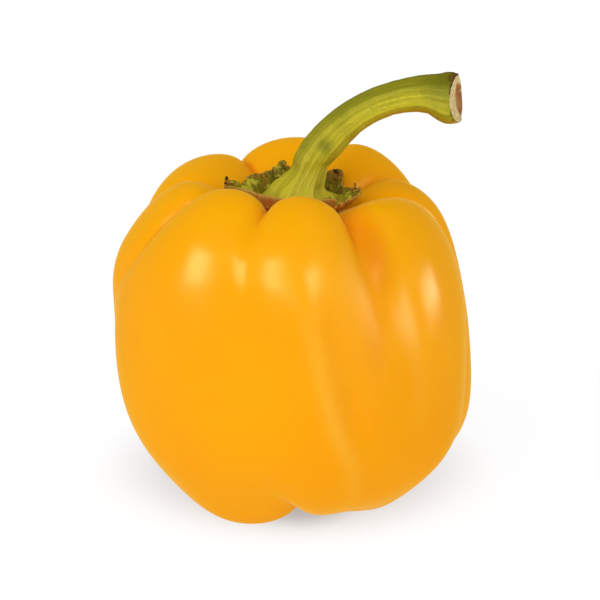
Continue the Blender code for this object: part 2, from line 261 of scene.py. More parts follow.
class NodeTree:
    """A short way to write a material's nodes."""

    def __init__(self, name: str) -> None:
        """Starts an empty material.

        Args:
            name: The material's name.
        """
        self.material = bpy.data.materials.new(name)
        self.material.use_nodes = True
        self.tree = self.material.node_tree
        self.shader = self.tree.nodes["Principled BSDF"]

    def set(self, **values: Any) -> None:
        """Sets the shader's sockets, with underscores for the spaces in their names."""
        for key, value in values.items():
            self.shader.inputs[key.replace("_", " ")].default_value = value

    def put(self, source: Any, socket: str) -> None:
        """Links a node's output to one of the shader's sockets."""
        self.tree.links.new(source, self.shader.inputs[socket])

    def feed(self, socket: bpy.types.NodeSocket, value: Any) -> None:
        """Links or sets one input socket.

        Args:
            socket: The input socket.
            value: Another node's output, or a plain value.
        """
        if isinstance(value, bpy.types.NodeSocket):
            self.tree.links.new(value, socket)
        else:
            socket.default_value = value

    def node(self, kind: str, **inputs: Any) -> bpy.types.Node:
        """Adds a node and sets or links its inputs.

        Args:
            kind: The node's type, without its ShaderNode prefix.
            **inputs: Values or other nodes' outputs, by the socket's name with underscores for spaces.

        Returns:
            The new node.
        """
        node = self.tree.nodes.new("ShaderNode" + kind)
        for key, value in inputs.items():
            self.feed(node.inputs[key.replace("_", " ")], value)
        return node

    def coordinates(self) -> bpy.types.NodeSocket:
        """Gives the piece's own coordinates in metres."""
        return self.node("TexCoord").outputs["Object"]

    def measure(self, name: str) -> bpy.types.NodeSocket:
        """Gives a number stored on the piece's vertices.

        Args:
            name: The attribute's name.

        Returns:
            The socket that carries it.
        """
        node = self.node("Attribute")
        node.attribute_name = name
        return node.outputs["Fac"]

    def noise(self, scale: float, detail: float = 2.0, vector: Any = None, roughness: float = 0.5) -> Any:
        """Adds soft cloudy noise.

        Args:
            scale: How fine it is, in patches per metre.
            detail: How many finer layers it has.
            vector: The coordinates it follows, or the piece's own.
            roughness: How strong the finer layers are.

        Returns:
            The socket with its value, from 0 to 1.
        """
        where = vector if vector is not None else self.coordinates()
        node = self.node("TexNoise", Vector=where, Scale=scale, Detail=detail, Roughness=roughness)
        return node.outputs["Fac"]

    def span(
        self,
        value: Any,
        low: float,
        high: float,
        to_low: float = 0.0,
        to_high: float = 1.0,
        smooth: bool = False,
    ) -> Any:
        """Stretches a value from one span to another and holds it there.

        Args:
            value: The socket to stretch.
            low: The value that becomes to_low.
            high: The value that becomes to_high.
            to_low: The new low end.
            to_high: The new high end.
            smooth: Whether the ends are eased.

        Returns:
            The socket with the stretched value.
        """
        ends = {"From_Min": low, "From_Max": high, "To_Min": to_low, "To_Max": to_high}
        node = self.node("MapRange", Value=value, **ends)
        node.clamp = True
        if smooth:
            node.interpolation_type = "SMOOTHSTEP"
        return node.outputs["Result"]

    def math(self, operation: str, first: Any, second: Any = 0.0) -> Any:
        """Does one sum on values.

        Args:
            operation: The Math node's operation.
            first: The first value.
            second: The second value.

        Returns:
            The socket with the result.
        """
        node = self.tree.nodes.new("ShaderNodeMath")
        node.operation = operation
        self.feed(node.inputs[0], first)
        self.feed(node.inputs[1], second)
        return node.outputs[0]

    def mix(self, share: Any, first: Any, second: Any) -> Any:
        """Mixes two colours.

        Args:
            share: How much of the second colour shows.
            first: A colour or a socket.
            second: A colour or a socket.

        Returns:
            The socket with the mixed colour.
        """
        node = self.tree.nodes.new("ShaderNodeMix")
        node.data_type = "RGBA"
        for socket, value in ((node.inputs[0], share), (node.inputs[6], first), (node.inputs[7], second)):
            self.feed(socket, (*value, 1.0) if isinstance(value, tuple) else value)
        return node.outputs[2]

    def bump(self, height: Any, depth: float, under: Any = None) -> Any:
        """Adds relief that is too fine to model.

        Args:
            height: The socket with its height, from 0 to 1.
            depth: How far it stands out, in metres.
            under: The relief that it lies on, if any.

        Returns:
            The socket with the changed surface direction.
        """
        node = self.node("Bump", Height=height, Distance=depth, Strength=1.0)
        if under is not None:
            self.tree.links.new(under, node.inputs["Normal"])
        return node.outputs["Normal"]


@dataclass(frozen=True)
class WaxySkin:
    """The fruit's finish: glossy gold, painted yellower on top as light and darker below as shade, with a
    deep orange painted as shade in its furrows.
    """

    gold: Colour = (0.975, 0.39, 0.001)
    amber: Colour = (0.95, 0.36, 0.001)
    painted_top_light: Colour = (0.965, 0.435, 0.001)
    painted_bottom_shade: Colour = (0.90, 0.33, 0.001)
    furrow: Colour = (0.80, 0.235, 0.0003)
    pale: Colour = (0.97, 0.56, 0.06)
    scar: Colour = linear_colour(120, 78, 34)
    roughness: float = 0.22
    dullness: float = 0.24

    def make(self) -> bpy.types.Material:
        """Writes the material.

        Returns:
            The material.
        """
        tree = NodeTree("waxy_skin")
        clouds = tree.noise(26.0, 3.0)
        base = tree.mix(tree.span(clouds, 0.38, 0.62), self.gold, self.amber)
        height = tree.node("SeparateXYZ", Vector=tree.coordinates()).outputs["Z"]
        # Painted light: yellower towards the top.
        base = tree.mix(tree.span(height, 60 * MM, 84 * MM, 0.0, 0.85), base, self.painted_top_light)
        # Painted shade: darker and redder towards the bottom.
        base = tree.mix(tree.span(height, 34 * MM, 4 * MM, 0.0, 0.7), base, self.painted_bottom_shade)
        # Painted shade: deeper orange in the creases and in the valley right of the front lobe.
        base = tree.mix(tree.span(tree.measure("furrow"), 0.14, 0.9, 0.0, 0.8), base, self.furrow)
        specks = tree.node("TexVoronoi", Vector=tree.coordinates(), Scale=130.0, Randomness=1.0)
        dots = tree.span(specks.outputs["Distance"], 0.02, 0.07, 0.55, 0.0)
        patches = tree.span(tree.noise(45.0, 1.0), 0.56, 0.64)
        base = tree.mix(tree.math("MULTIPLY", dots, patches), base, self.pale)
        # Painted highlight: paler skin along the front ridge and the right lobe, in the same pale as the
        # specks.
        base = tree.mix(tree.math("MULTIPLY", tree.measure("crest"), 0.32), base, self.pale)
        base = tree.mix(tree.measure("scar"), base, self.scar)
        tree.put(base, "Base Color")
        mottle = tree.noise(420.0, 2.0)
        gloss = tree.span(mottle, 0.3, 0.7, self.roughness - 0.02, self.roughness + 0.04)
        bloom = tree.math("MULTIPLY", tree.measure("bloom"), self.dullness)
        tree.put(tree.math("ADD", gloss, bloom), "Roughness")
        tree.put(tree.bump(tree.noise(75.0, 1.0), 0.00018), "Normal")
        tree.set(
            Specular_IOR_Level=0.25,
            Specular_Tint=(1.0, 0.8, 0.37, 1.0),
            Subsurface_Weight=0.12,
            Subsurface_Radius=(0.0024, 0.0009, 0.0001),
            Subsurface_Scale=1.0,
            Sheen_Weight=0.32,
            Sheen_Roughness=0.2,
            Sheen_Tint=(1.0, 0.72, 0.42, 1.0),
        )
        return tree.material


@dataclass(frozen=True)
class StemBark:
    """The stem's finish: mottled greens that streak along it, with a dry brown edge at the cut."""

    green: Colour = linear_colour(173, 166, 24)
    lime: Colour = linear_colour(204, 192, 42)
    pale: Colour = linear_colour(214, 206, 96)
    olive: Colour = linear_colour(122, 122, 16)
    moss: Colour = linear_colour(96, 100, 14)
    underside_orange: Colour = linear_colour(176, 120, 18)
    bark: Colour = linear_colour(78, 46, 18)

    def make(self) -> bpy.types.Material:
        """Writes the material, which follows the stem's own map.

        Returns:
            The material.
        """
        tree = NodeTree("stem_bark")
        chart = tree.node("UVMap")
        chart.uv_map = "stem_chart"
        along = chart.outputs["UV"]
        lined = tree.node("Mapping", Vector=along, Scale=(84.0, 2.4, 1.0)).outputs["Vector"]
        streaked = tree.node("Mapping", Vector=along, Scale=(40.0, 3.2, 1.0)).outputs["Vector"]
        dashed = tree.node("Mapping", Vector=along, Scale=(70.0, 16.0, 1.0)).outputs["Vector"]
        lines = tree.noise(1.0, 2.0, lined, 0.6)
        streaks = tree.noise(1.0, 3.0, streaked, 0.6)
        dashes = tree.noise(1.0, 2.0, dashed)
        grain = tree.noise(1900.0, 2.0)
        # Painted light and shade: lime on the rib tops, green in the grooves.
        base = tree.mix(tree.span(tree.measure("ridge"), -0.6, 0.9, 0.1, 0.8), self.green, self.lime)
        base = tree.mix(tree.span(tree.noise(120.0, 3.0), 0.46, 0.68, 0.0, 0.55), base, self.olive)
        base = tree.mix(tree.measure("flare"), base, self.lime)
        base = tree.mix(tree.span(lines, 0.50, 0.62, 0.0, 0.3), base, self.olive)
        base = tree.mix(tree.span(streaks, 0.54, 0.68, 0.0, 0.55), base, self.lime)
        base = tree.mix(tree.span(grain, 0.60, 0.72, 0.0, 0.45), base, self.pale)
        # Painted shade: olive on the upward-facing side.
        base = tree.mix(tree.measure("topside"), base, self.olive)
        # Orange-brown towards the downward-facing side.
        base = tree.mix(tree.measure("underside"), base, self.underside_orange)
        base = tree.mix(tree.span(dashes, 0.62, 0.74, 0.0, 0.6), base, self.moss)
        base = tree.mix(tree.measure("blotch"), base, self.moss)
        base = tree.mix(tree.measure("knob"), base, self.moss)
        dry = tree.math("ADD", tree.measure("bark"), tree.span(grain, 0.35, 0.65, -0.2, 0.2))
        base = tree.mix(tree.span(dry, 0.3, 0.7), base, self.bark)
        tree.put(base, "Base Color")
        tree.put(tree.span(grain, 0.2, 0.8, 0.44, 0.62), "Roughness")
        ribs = tree.bump(lines, 0.00016)
        tree.put(tree.bump(grain, 0.00006, tree.bump(dashes, 0.00008, ribs)), "Normal")
        tree.set(Specular_IOR_Level=0.3, Specular_Tint=(1.0, 1.0, 0.35, 1.0), Subsurface_Weight=0.05)
        tree.set(Subsurface_Radius=(0.0012, 0.0012, 0.0003), Subsurface_Scale=1.0)
        return tree.material


@dataclass(frozen=True)
class CutWood:
    """The finish of the stem's cut end: pale dry wood round a brown pith."""

    cream: Colour = linear_colour(228, 210, 150)
    tan: Colour = linear_colour(200, 170, 112)
    pith: Colour = linear_colour(168, 108, 52)
    bark: Colour = linear_colour(78, 46, 20)

    def make(self) -> bpy.types.Material:
        """Writes the material, which follows the share of the way to the edge and to the pith's edge.

        Returns:
            The material.
        """
        tree = NodeTree("cut_wood")
        fibre = tree.noise(1100.0, 3.0)
        base = tree.mix(tree.span(fibre, 0.35, 0.65), self.cream, self.tan)
        wobble = tree.span(tree.noise(600.0, 2.0), 0.3, 0.7, -0.12, 0.12)
        heart = tree.math("ADD", tree.measure("pith"), wobble)
        base = tree.mix(tree.span(heart, 1.05, 0.85), base, self.pith)
        base = tree.mix(tree.span(heart, 0.75, 0.45, 0.0, 0.4), base, self.tan)
        base = tree.mix(tree.span(tree.measure("ring"), 0.94, 0.99), base, self.bark)
        tree.put(base, "Base Color")
        tree.put(tree.bump(fibre, 0.0003), "Normal")
        tree.set(Roughness=0.75, Specular_IOR_Level=0.2)
        return tree.material


@dataclass(frozen=True)
class CalyxLeaf:
    """The calyx's finish: wrinkled green that dries to brown at its edges and black at its tips."""

    green: Colour = linear_colour(142, 130, 20)
    lime: Colour = linear_colour(178, 172, 44)
    olive: Colour = linear_colour(106, 94, 14)
    brown: Colour = linear_colour(152, 104, 30)
    tan: Colour = linear_colour(206, 156, 70)
    rose: Colour = linear_colour(160, 74, 12)
    black: Colour = linear_colour(34, 20, 12)

    def make(self) -> bpy.types.Material:
        """Writes the material, which follows the calyx's stored fold heights for painted light and shade,
        and its edge, skirt and dryness.

        Returns:
            The material.
        """
        tree = NodeTree("calyx_leaf")
        blotches = tree.noise(480.0, 3.0)
        wrinkles = tree.noise(1200.0, 2.0)
        base = tree.mix(tree.span(blotches, 0.36, 0.64), self.olive, self.green)
        # Painted light and shade: lime on the raised folds, olive in the sunken ones.
        crest = tree.math("ADD", tree.measure("crest"), tree.span(wrinkles, 0.3, 0.7, -0.25, 0.25))
        base = tree.mix(tree.span(crest, 0.15, 0.8), base, self.lime)
        base = tree.mix(tree.span(crest, -0.15, -0.8, 0.0, 0.8), base, self.olive)
        uneven = tree.span(tree.noise(650.0, 2.0), 0.35, 0.65, -0.2, 0.2)
        dry = tree.math("ADD", tree.measure("dry"), uneven)
        base = tree.mix(tree.span(dry, 0.3, 0.7), base, self.brown)
        faded = tree.span(tree.noise(420.0, 3.0), 0.38, 0.62, 0.45, 1.0)
        base = tree.mix(tree.math("MULTIPLY", tree.measure("skirt"), faded), base, self.rose)
        base = tree.mix(tree.measure("rim"), base, self.tan)
        base = tree.mix(tree.span(dry, 1.2, 1.5), base, self.black)
        tree.put(base, "Base Color")
        tree.put(tree.bump(wrinkles, 0.00016, tree.bump(blotches, 0.00035)), "Normal")
        tree.set(Roughness=0.6, Specular_IOR_Level=0.25, Specular_Tint=(1.0, 1.0, 0.35, 1.0))
        return tree.material


@dataclass(frozen=True)
class SkinFold:
    """A shallow ridge down the fruit, or a dent where its rise is negative; the same kind of path also lays
    the painted shade, the painted highlight and the duller gloss.

    The path is a list of azimuths in degrees and heights in millimetres, from the top down.
    """

    path: tuple[tuple[float, float], ...]
    width: float
    rise: float


@dataclass
class Fruit:
    """The lobed fruit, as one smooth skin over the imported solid."""

    levels: int = 2
    smoothing_rounds: int = 60
    full_furrow: float = 1.1 * MM
    least_reach: float = 20.0
    scar_centre: tuple[float, float] = (0.4, -2.5)
    scar_radius: float = 2.6
    scar_fade: float = 0.8
    scar_top: float = 12.0
    skin: WaxySkin = field(default_factory=WaxySkin)
    # The front lobe's ridge and dent, and the right lobe's dent.
    folds: tuple[SkinFold, ...] = (
        SkinFold(((-86, 78), (-84.5, 64), (-81, 48), (-76.7, 34), (-70, 22), (-66, 12)), 3.2, 0.5),
        SkinFold(((-79, 73), (-76, 60), (-73.4, 49), (-72, 42), (-68, 30), (-64, 18)), 3.4, -0.55),
        SkinFold(((-44, 74), (-43.5, 60), (-43, 50), (-42.5, 34)), 2.4, -0.3),
    )
    # Painted shade: the creases' deep orange, painted also along two stretches of the valley right of the
    # front lobe.
    painted_valley_shades: tuple[SkinFold, ...] = (
        SkinFold(((-55, 91), (-54.5, 79.5), (-54.5, 75.5), (-54.4, 71), (-55, 63)), 4.8, 0.8),
        SkinFold(((-55.6, 80), (-56.9, 69), (-58.5, 63.6), (-60.8, 57), (-62.5, 42)), 4.2, 0.42),
    )
    # Duller skin on the front lobe's flank.
    blooms: tuple[SkinFold, ...] = (SkinFold(((-72, 90), (-71, 70), (-69.5, 58), (-67, 32)), 6.5, 1.0),)
    # Painted highlight: paler skin along the front ridge and the right lobe.
    crests: tuple[SkinFold, ...] = (
        SkinFold(((-85, 74), (-84.2, 60), (-81, 48), (-76.7, 34), (-70, 22), (-66, 6)), 2.4, 1.0),
        SkinFold(((-45.5, 58), (-45, 48), (-44.5, 38), (-44, 26)), 2.2, 0.4),
    )

    def build(self) -> bpy.types.Object:
        """Models the skin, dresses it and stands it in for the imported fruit.

        Returns:
            The skin.
        """
        piece = smooth_copy(Part.FRUIT, "fruit_skin", self.levels)
        self.add_folds(piece)
        mesh = piece.data
        places = read_vertices(mesh)
        hollow = hollow_measure(mesh, self.smoothing_rounds, self.full_furrow)
        across, back, height = (places / MM).T
        away = np.hypot(across - self.scar_centre[0], back - self.scar_centre[1])
        add_measures(
            mesh,
            # Painted shade: the creases and the valley right of the front lobe.
            furrow=np.maximum(hollow, self.rise_of(self.painted_valley_shades, places)),
            bloom=self.rise_of(self.blooms, places),
            # Painted highlight: along the front ridge and the right lobe.
            crest=self.rise_of(self.crests, places),
            scar=(height < self.scar_top) * ramp(away, self.scar_radius, -self.scar_fade),
        )
        mesh.materials.append(self.skin.make())
        adopt(piece, Part.FRUIT)
        return piece

    def add_folds(self, piece: bpy.types.Object) -> None:
        """Raises the ridges and sinks the dents.

        Args:
            piece: The skin to change.
        """
        mesh = piece.data
        places = read_vertices(mesh)
        move = self.rise_of(self.folds, places)
        place_vertices(mesh, places + read_vertices(mesh, "normal") * move[:, None] * MM)

    def rise_of(self, folds: tuple[SkinFold, ...], places: np.ndarray) -> np.ndarray:
        """Adds up how much of each fold there is at each vertex.

        Args:
            folds: The folds, which fade out towards both ends.
            places: The vertices in metres.

        Returns:
            Their rise at each vertex.
        """
        azimuth = np.degrees(np.arctan2(places[:, 1], places[:, 0]))
        height = places[:, 2] / MM
        reach = np.hypot(places[:, 0], places[:, 1]) / MM
        total = np.zeros(len(places))
        for fold in folds:
            path = np.array(fold.path)
            middle = np.interp(height, path[::-1, 1], path[::-1, 0])
            down = ramp(height, path[0, 1], path[-1, 1] - path[0, 1])
            away = np.radians((azimuth - middle + 180) % 360 - 180) * reach
            total += fold.rise * np.sin(math.pi * down) * bell(away, fold.width)
        return total * (reach > self.least_reach)


@dataclass(frozen=True)
class Swelling:
    """A raised stretch of the calyx, or a sunken one, along a path of x and y places in millimetres."""

    path: tuple[tuple[float, float], ...]
    width: float
    rise: float


@dataclass(frozen=True)
class CurledTip:
    """A dried, curled tip of the calyx: its middle line and its radius at each point, in millimetres."""

    name: str
    line: tuple[tuple[float, float, float], ...]
    radii: tuple[float, ...]
    flatness: float
    dryness: tuple[float, float]


@dataclass
class Calyx:
    """The ragged collar in the fruit's sunken top."""

    levels: int = 3
    middle: tuple[float, float] = (1.56, 0.54)
    foot_reach: float = 8.0
    rim_sectors: int = 144
    raggedness: float = 1.3
    tip_samples: int = 60
    finish: CalyxLeaf = field(default_factory=CalyxLeaf)
    swellings: tuple[Swelling, ...] = (
        Swelling(((-10.8, 3.2), (-8.6, 3.8)), 2.0, 3.4),
        Swelling(((-15.6, 1.0), (-12.6, 0.6), (-9.8, -0.4)), 1.2, 1.7),
        Swelling(((-7.6, 8.6), (-4.8, 9.6)), 1.5, 0.5),
        Swelling(((11.6, 11.6), (10.2, 8.6), (9.2, 5.6)), 0.8, 1.6),
        Swelling(((12.8, 9.6), (11.6, 6.6)), 0.8, 0.9),
        Swelling(((17.2, -1.6), (13.0, -2.4), (10.4, -2.0)), 1.1, 1.5),
        Swelling(((14.8, -4.4), (12.0, -4.6)), 0.9, 1.0),
        Swelling(((17.6, -1.6), (16.2, -1.2)), 1.5, -1.0),
        Swelling(((9.4, -3.8), (10.0, -3.0)), 0.6, 1.1),
        Swelling(((9.0, -5.2), (8.2, -5.6)), 0.5, 0.9),
    )
    sinks: tuple[Swelling, ...] = (
        Swelling(((-3.2, 13.6), (-3.4, 11.4)), 2.6, -1.7),
        Swelling(((12.2, 12.8), (10.6, 10.4)), 3.0, -2.1),
    )
    lip: tuple[tuple[float, float, float], ...] = (
        (-15.6, 0.4, 81.7),
        (-12.9, -0.4, 81.6),
        (-10.2, -2.7, 81.4),
        (-7.7, -5.7, 81.6),
        (-4.7, -7.3, 81.5),
        (-2.0, -8.2, 81.3),
        (2.0, -8.9, 81.2),
        (6.0, -8.0, 80.9),
        (8.8, -6.2, 80.8),
        (10.4, -5.6, 80.5),
        (12.9, -7.6, 79.6),
        (14.8, -5.6, 80.1),
        (16.4, -2.6, 80.8),
    )
    lip_width: float = 0.9
    tips: tuple[CurledTip, ...] = (
        CurledTip(
            "left_hook",
            (
                (-13.6, 1.0, 81.9),
                (-15.0, 1.1, 82.5),
                (-16.2, 1.1, 82.7),
                (-16.7, 1.0, 83.4),
                (-16.4, 0.9, 84.1),
            ),
            (1.0, 0.8, 0.55, 0.45, 0.3),
            0.7,
            (0.2, 1.9),
        ),
        CurledTip(
            "left_spur",
            ((-14.6, 1.0, 82.3), (-15.8, 1.0, 82.6), (-16.6, 0.9, 82.6), (-17.0, 0.8, 82.2)),
            (0.7, 0.5, 0.45, 0.3),
            0.8,
            (0.2, 1.9),
        ),
        CurledTip(
            "back_finger",
            (
                (-3.5, 12.0, 79.8),
                (-3.4, 11.0, 81.0),
                (-3.3, 11.7, 82.6),
                (-3.0, 12.2, 83.9),
                (-2.5, 12.0, 84.6),
                (-1.9, 11.5, 84.3),
            ),
            (0.9, 1.2, 1.0, 0.85, 0.7, 0.4),
            0.75,
            (0.0, 0.4),
        ),
        CurledTip(
            "back_right_hook",
            (
                (11.2, 9.6, 80.4),
                (11.7, 10.0, 81.4),
                (11.9, 10.0, 82.4),
                (11.3, 9.7, 83.0),
                (10.3, 9.3, 82.9),
            ),
            (1.0, 0.85, 0.75, 0.62, 0.45),
            0.75,
            (0.5, 1.9),
        ),
        CurledTip(
            "right_filament",
            ((14.3, 0.5, 79.6), (14.6, 0.2, 80.9), (15.2, 0.1, 81.4), (15.6, 0.2, 82.0), (15.3, 0.4, 82.6)),
            (0.55, 0.45, 0.36, 0.24, 0.14),
            1.0,
            (0.6, 1.6),
        ),
        CurledTip(
            "right_shred",
            ((15.0, -1.0, 80.9), (15.8, -1.2, 81.2), (16.5, -1.0, 81.4), (16.6, -0.6, 82.0)),
            (0.5, 0.36, 0.26, 0.14),
            1.0,
            (0.5, 1.5),
        ),
    )

    def build(self) -> list[bpy.types.Object]:
        """Models the collar and its tips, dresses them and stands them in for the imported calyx.

        Returns:
            The pieces.
        """
        finish = self.finish.make()
        collar = smooth_copy(Part.CALYX, "calyx_collar", self.levels)
        self.wrinkle(collar.data)
        pieces = [collar, *[self.build_tip(tip) for tip in self.tips]]
        for piece in pieces:
            piece.data.materials.append(finish)
            adopt(piece, Part.CALYX)
        return pieces

    def wrinkle(self, mesh: bpy.types.Mesh) -> None:
        """Raises the swellings and the lip, wrinkles, sinks and frays the collar, and stores its measures.

        Args:
            mesh: The collar's mesh.
        """
        places = read_vertices(mesh) / MM
        upper = np.clip(read_vertices(mesh, "normal")[:, 2] * 2, 0, 1)
        reach = np.hypot(places[:, 0], places[:, 1])
        azimuth = np.degrees(np.arctan2(places[:, 1], places[:, 0]))
        edge = ramp(reach / self.rim_reach(azimuth, reach), 0.86, 0.14)
        lift = self.rise_of(self.swellings, places)
        lip = np.array(self.lip)
        from_lip, outside = self.distance(places, lip[:, :2])
        grain = np.array([noise.noise(Vector(place) * 2.7) for place in places])
        rough = 0.50 * fractal_noise(places, 0.55, 3) + 0.24 * fractal_noise(places, 1.5, 2) + 0.12 * grain
        moved = places.copy()
        folds = lift * (1 - 0.5 * edge * (lift > 0)) + rough * (1 - 0.4 * edge)
        moved[:, 2] += upper * ramp(reach, self.foot_reach, 1.5) * folds
        lip_height = np.interp(places[:, 0], lip[:, 0], lip[:, 2]) + 0.5 * rough
        moved[:, 2] += upper * bell(from_lip, self.lip_width) * (lip_height - moved[:, 2])
        moved[:, 2] += self.rise_of(self.sinks, places)
        ragged = np.array([noise.noise(Vector((x * 0.9, y * 0.9, 4.0))) for x, y, _ in places])
        outward = places[:, :2] / np.maximum(reach, 1e-6)[:, None]
        moved[:, :2] += outward * (edge * ragged * self.raggedness)[:, None]
        place_vertices(mesh, moved * MM)

        front = ramp(azimuth, -24.0, -8) * np.clip((azimuth + 172) / 20, 0.35, 1)
        rim_side = ramp(azimuth, 2.0, -8) + ramp(azimuth, 172, 6)
        skirt = np.maximum(outside * ramp(from_lip, 0, 0.5), 1 - upper) * front
        side_edge = ramp(edge, 0.75, 0.25) * upper
        # Painted light and shade: raised folds that face up turn lime, sunken ones olive.
        crest = np.clip(0.3 * lift + 1.8 * rough - 0.35, -1, 1) * upper
        dry = 0.3 * edge + 0.5 * (1 - upper) + 0.42 * self.brown_side(azimuth) - 0.5 * np.clip(crest, 0, 1)
        add_measures(
            mesh,
            crest=crest,
            skirt=np.clip(skirt, 0, 1),
            rim=0.9 * np.maximum(side_edge, bell(from_lip, 0.35) * rim_side),
            dry=np.clip(dry, 0, 1.1),
        )

    def rise_of(self, swellings: tuple[Swelling, ...], places: np.ndarray) -> np.ndarray:
        """Adds up how far swellings raise each vertex.

        Args:
            swellings: The swellings.
            places: The vertices in millimetres.

        Returns:
            The rise at each vertex in millimetres.
        """
        total = np.zeros(len(places))
        for swelling in swellings:
            away, _ = self.distance(places, np.array(swelling.path))
            total += swelling.rise * bell(away, swelling.width)
        return total

    def rim_reach(self, azimuth: np.ndarray, reach: np.ndarray) -> np.ndarray:
        """Gives how far out the collar's edge is in each vertex's direction.

        Args:
            azimuth: The vertices' directions in degrees.
            reach: How far out they are.

        Returns:
            The edge's distance in the same unit.
        """
        sectors = np.floor((azimuth + 180) / (360 / self.rim_sectors)).astype(int) % self.rim_sectors
        edge = np.zeros(self.rim_sectors)
        np.maximum.at(edge, sectors, reach)
        return edge[sectors]

    def brown_side(self, azimuth: np.ndarray) -> np.ndarray:
        """Gives how far the calyx has dried to brown: most at its back right and its left mound."""
        return np.maximum(bell(azimuth - 48, 22), 0.9 * bell(azimuth - 130, 17))

    def distance(self, places: np.ndarray, path: np.ndarray) -> tuple[np.ndarray, np.ndarray]:
        """Measures how far each vertex is from a path, as seen from above.

        Args:
            places: The vertices in millimetres.
            path: The path's x and y places in millimetres.

        Returns:
            Each vertex's distance, and whether it lies farther out from the stem than the path.
        """
        flat = places[:, :2]
        nearest = np.full(len(flat), np.inf)
        outside = np.zeros(len(flat), bool)
        reach = np.linalg.norm(flat - self.middle, axis=1)
        for start, end in zip(path[:-1], path[1:]):
            along = end - start
            share = np.clip((flat - start) @ along / (along @ along), 0, 1)
            foot = start + share[:, None] * along
            away = np.linalg.norm(flat - foot, axis=1)
            closer = away < nearest
            nearest[closer] = away[closer]
            beyond = reach > np.linalg.norm(foot - self.middle, axis=1)
            outside[closer] = beyond[closer]
        return nearest, outside

    def sweep_tip(self, tip: CurledTip) -> bpy.types.Object:
        """Sweeps a tapered tube along a tip's middle line.

        Args:
            tip: The tip.

        Returns:
            The tube as a mesh.
        """
        curve = bpy.data.curves.new(tip.name, "CURVE")
        curve.dimensions = "3D"
        curve.bevel_depth = MM
        curve.bevel_resolution = 4
        curve.use_fill_caps = True
        curve.resolution_u = 8
        spline = curve.splines.new("NURBS")
        spline.points.add(len(tip.line) - 1)
        for point, place, radius in zip(spline.points, tip.line, tip.radii):
            point.co = (*(Vector(place) * MM), 1.0)
            point.radius = radius
        spline.order_u = 3
        spline.use_endpoint_u = True
        select_only(add_object("calyx_" + tip.name, curve))
        bpy.ops.object.convert(target="MESH")
        bpy.ops.object.shade_smooth()
        return bpy.context.object

    def build_tip(self, tip: CurledTip) -> bpy.types.Object:
        """Models one curled tip as a tapered, wrinkled horn and stores what the finish follows.

        Args:
            tip: The tip.

        Returns:
            The piece.
        """
        piece = self.sweep_tip(tip)
        mesh = piece.data
        places = read_vertices(mesh) / MM
        middle, nearest, share = follow_line(np.array(tip.line), self.tip_samples, places)
        bumps = fractal_noise(places, 1.6, 2)
        squeeze = np.array((1.0, tip.flatness, 1.0))
        out = (places - middle[nearest]) * squeeze * (1 + 0.35 * bumps)[:, None]
        place_vertices(mesh, (middle[nearest] + out) * MM)
        low, high = tip.dryness
        none = np.zeros(len(places))
        dry = low + (high - low) * share**2
        # Painted light and shade: lime where the tip bulges, olive where it sinks.
        add_measures(mesh, crest=np.clip(bumps * 2, -1, 1), skirt=none, rim=none, dry=dry)
        return piece


